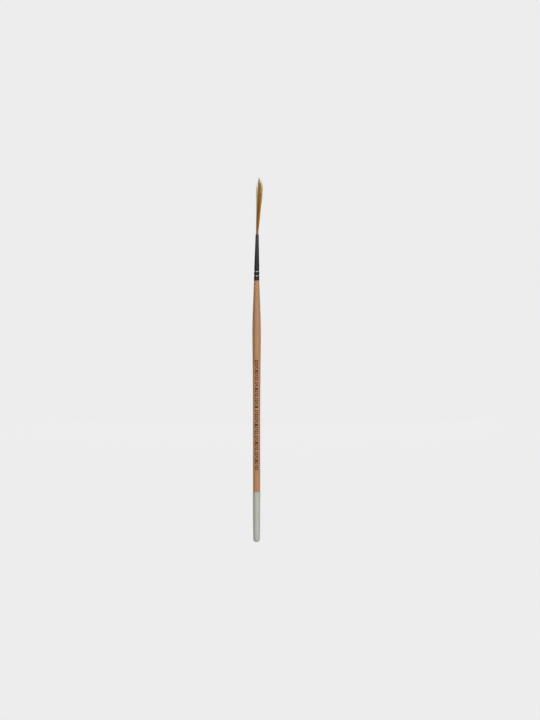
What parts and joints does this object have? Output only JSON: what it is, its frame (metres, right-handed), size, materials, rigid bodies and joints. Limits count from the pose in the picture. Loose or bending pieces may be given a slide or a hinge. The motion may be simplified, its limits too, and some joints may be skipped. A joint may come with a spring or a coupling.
{
  "type": "fine detail brush",
  "caption": "Slim paint brush with a long pointed striping tuft in a tapered crimped ferrule, on a turned wooden handle with a painted end.",
  "frame": {"origin": "on the handle's axis at its fattest part, 105 mm above the butt, where fingers hold it", "axes": "+Z along the handle towards the hair, -Y towards the printed side, +X to the side that the hair leans to"},
  "size_m": [0.0046, 0.0042, 0.185],
  "materials": {
    "wood": "clear satin lacquer",
    "paint": "dipped enamel paint",
    "ink": "matt printing ink",
    "ferrule": "black plating, satin",
    "glue": "dried wood glue",
    "resin": "clear yellow epoxy",
    "hair": "fine tapered synthetic filaments",
    "thread": "waxed binding thread"
  },
  "bodies": {
    "handle": {"handle_wood": "wood", "dip_coat": "paint", "printed_marks": "ink", "ferrule": "ferrule", "tenon_glue": "glue", "setting_resin": "resin", "hair_roots": "hair", "root_binding": "thread", "tuft_base": "hair"},
    "tuft": {"tuft": "hair"}
  },
  "joints": [
    {"name": "tuft_bend", "type": "hinge", "parent": "handle", "child": "tuft", "pos_m": [0.00064, 0, 0.05942], "axis": [0, 1, 0], "range_deg": [-35, 35], "stiffness_Nm_per_rad": 0.001}
  ]
}
